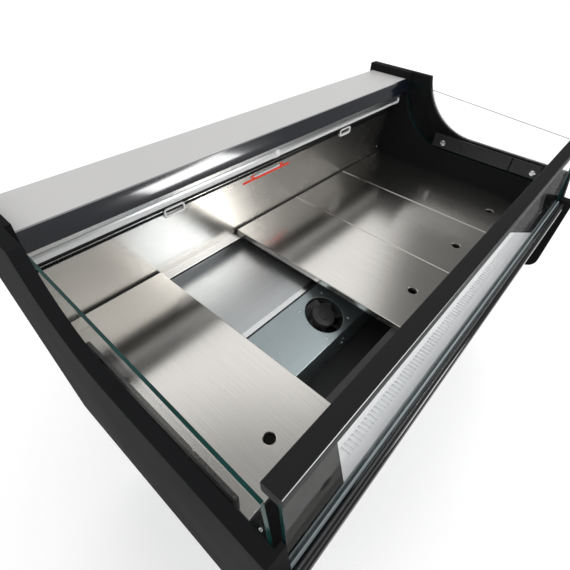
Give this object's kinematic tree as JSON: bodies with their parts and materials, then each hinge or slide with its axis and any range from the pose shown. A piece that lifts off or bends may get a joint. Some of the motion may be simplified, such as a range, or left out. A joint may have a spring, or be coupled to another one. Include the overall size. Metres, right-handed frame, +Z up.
{
  "type": "refrigerated serve-over display counter",
  "caption": "Low refrigerated serve-over counter with a steel deck of lift-out panels over evaporator fans, a tilting front glass, end glasses and a rear worktop.",
  "frame": {"origin": "on the floor, under the middle of the counter's length and depth", "axes": "+X along the counter to the customer's right, +Y from the customer to the operator, +Z up"},
  "size_m": [1.518, 0.879, 0.975],
  "materials": {
    "graphite_paint": "powder coat, satin",
    "foam": "foamed insulation",
    "black_liner": "black paint, satin",
    "brushed_stainless": "brushed",
    "black_outlet": "matt",
    "white_plastic": "moulded, slight gloss",
    "galvanised": "galvanised, smooth",
    "bright_aluminium": "bright",
    "fan_plate_steel": "galvanised, blue-grey",
    "bright_screws": "zinc plated",
    "coil_aluminium": "plain fins",
    "black_abs": "fine moulded grain",
    "black_gloss": "polished",
    "clear_glass": "clear, green at the edges",
    "black_rail": "black anodised, matt",
    "hinge_bar_grey": "anodised, satin",
    "black_clamp": "moulded",
    "satin_worktop": "satin",
    "lamp_cover": "clear cover over a reflector",
    "compressor_paint": "black paint",
    "fan_black": "moulded",
    "control_grey": "moulded",
    "button_rubber": "soft touch",
    "switch_plastic": "moulded"
  },
  "bodies": {
    "cabinet": {"air_outlet_grid": "black_outlet", "base_floor": "galvanised", "base_front_panel": "graphite_paint", "base_side_panels": "graphite_paint", "cable_gland": "black_abs", "compressor": "compressor_paint", "condenser_coil": "coil_aluminium", "condenser_fan_frame": "fan_black", "control_plate": "control_grey", "cover_trim": "bright_aluminium", "drain_outlet": "black_abs", "end_glass_clamps": "black_clamp", "end_glass_screws": "bright_screws", "evaporator_coil": "coil_aluminium", "evaporator_cover": "galvanised", "fan_housing_1": "fan_black", "fan_housing_2": "fan_black", "fan_housing_3": "fan_black", "fan_housing_4": "fan_black", "fan_plate": "fan_plate_steel", "fan_screws": "bright_screws", "fascia_strips": "black_gloss", "front_deck_rail": "black_liner", "front_profile": "black_gloss", "grille_end_blanks": "black_abs", "lamp_holders": "white_plastic", "lamp_rail": "bright_aluminium", "lamp_tubes": "lamp_cover", "left_end_glass": "clear_glass", "left_end_panel": "black_abs", "levelling_feet": "black_abs", "outlet_clips": "white_plastic", "panel_screws": "bright_screws", "rear_deck_rail": "galvanised", "rear_louvre_panel": "graphite_paint", "rear_riser": "graphite_paint", "rear_wall_panel": "brushed_stainless", "return_air_grille": "white_plastic", "right_end_glass": "clear_glass", "right_end_panel": "black_abs", "tank_casing": "graphite_paint", "tank_insulation": "foam", "tank_liner": "black_liner", "worktop": "satin_worktop"},
    "front_glass_frame": {"front_glass": "clear_glass", "front_glass_top_rail": "black_rail", "front_glass_hinge_bar": "hinge_bar_grey"},
    "condenser_fan": {"condenser_fan_impeller": "fan_black"},
    "light_switch": {"light_switch_rocker": "switch_plastic"},
    "panel_1": {"deck_panel_1": "brushed_stainless"},
    "panel_3": {"deck_panel_3": "brushed_stainless"},
    "panel_4": {"deck_panel_4": "brushed_stainless"},
    "panel_5": {"deck_panel_5": "brushed_stainless"},
    "fan_1": {"fan_impeller_1": "fan_black"},
    "fan_2": {"fan_impeller_2": "fan_black"},
    "fan_3": {"fan_impeller_3": "fan_black"},
    "fan_4": {"fan_impeller_4": "fan_black"},
    "key_set": {"button_set": "button_rubber"},
    "key_down": {"button_down": "button_rubber"},
    "key_up": {"button_up": "button_rubber"}
  },
  "joints": [
    {"name": "front_glass_tilt", "type": "hinge", "parent": "cabinet", "child": "front_glass_frame", "pos_m": [0, -0.3945, 0.7], "axis": [1, 0, 0], "range_deg": [0, 60]},
    {"name": "panel_1_lift", "type": "slide", "parent": "cabinet", "child": "panel_1", "axis": [0, 0, 1], "range_m": [0, 0.09]},
    {"name": "panel_3_lift", "type": "slide", "parent": "cabinet", "child": "panel_3", "axis": [0, 0, 1], "range_m": [0, 0.09]},
    {"name": "panel_4_lift", "type": "slide", "parent": "cabinet", "child": "panel_4", "axis": [0, 0, 1], "range_m": [0, 0.09]},
    {"name": "panel_5_lift", "type": "slide", "parent": "cabinet", "child": "panel_5", "axis": [0, 0, 1], "range_m": [0, 0.09]},
    {"name": "fan_1_spin", "type": "hinge", "parent": "cabinet", "child": "fan_1", "pos_m": [-0.54, -0.0695, 0.57297], "axis": [0, -0.2986, 0.9544], "continuous": true},
    {"name": "fan_2_spin", "type": "hinge", "parent": "cabinet", "child": "fan_2", "pos_m": [-0.18, -0.0695, 0.57297], "axis": [0, -0.2986, 0.9544], "continuous": true},
    {"name": "fan_3_spin", "type": "hinge", "parent": "cabinet", "child": "fan_3", "pos_m": [0.18, -0.0695, 0.57297], "axis": [0, -0.2986, 0.9544], "continuous": true},
    {"name": "fan_4_spin", "type": "hinge", "parent": "cabinet", "child": "fan_4", "pos_m": [0.54, -0.0695, 0.57297], "axis": [0, -0.2986, 0.9544], "continuous": true},
    {"name": "condenser_fan_spin", "type": "hinge", "parent": "cabinet", "child": "condenser_fan", "pos_m": [-0.21, -0.0605, 0.193], "axis": [0, -1, 0], "continuous": true},
    {"name": "key_set_press", "type": "slide", "parent": "cabinet", "child": "key_set", "axis": [0, -1, 0], "range_m": [0, 0.0012], "stiffness_N_per_m": 300, "springref_m": -0.001},
    {"name": "key_down_press", "type": "slide", "parent": "cabinet", "child": "key_down", "axis": [0, -1, 0], "range_m": [0, 0.0012], "stiffness_N_per_m": 300, "springref_m": -0.001},
    {"name": "key_up_press", "type": "slide", "parent": "cabinet", "child": "key_up", "axis": [0, -1, 0], "range_m": [0, 0.0012], "stiffness_N_per_m": 300, "springref_m": -0.001},
    {"name": "light_switch_rock", "type": "hinge", "parent": "cabinet", "child": "light_switch", "pos_m": [0.564, 0.427, 0.8735], "axis": [1, 0, 0], "range_deg": [0, 12]}
  ]
}
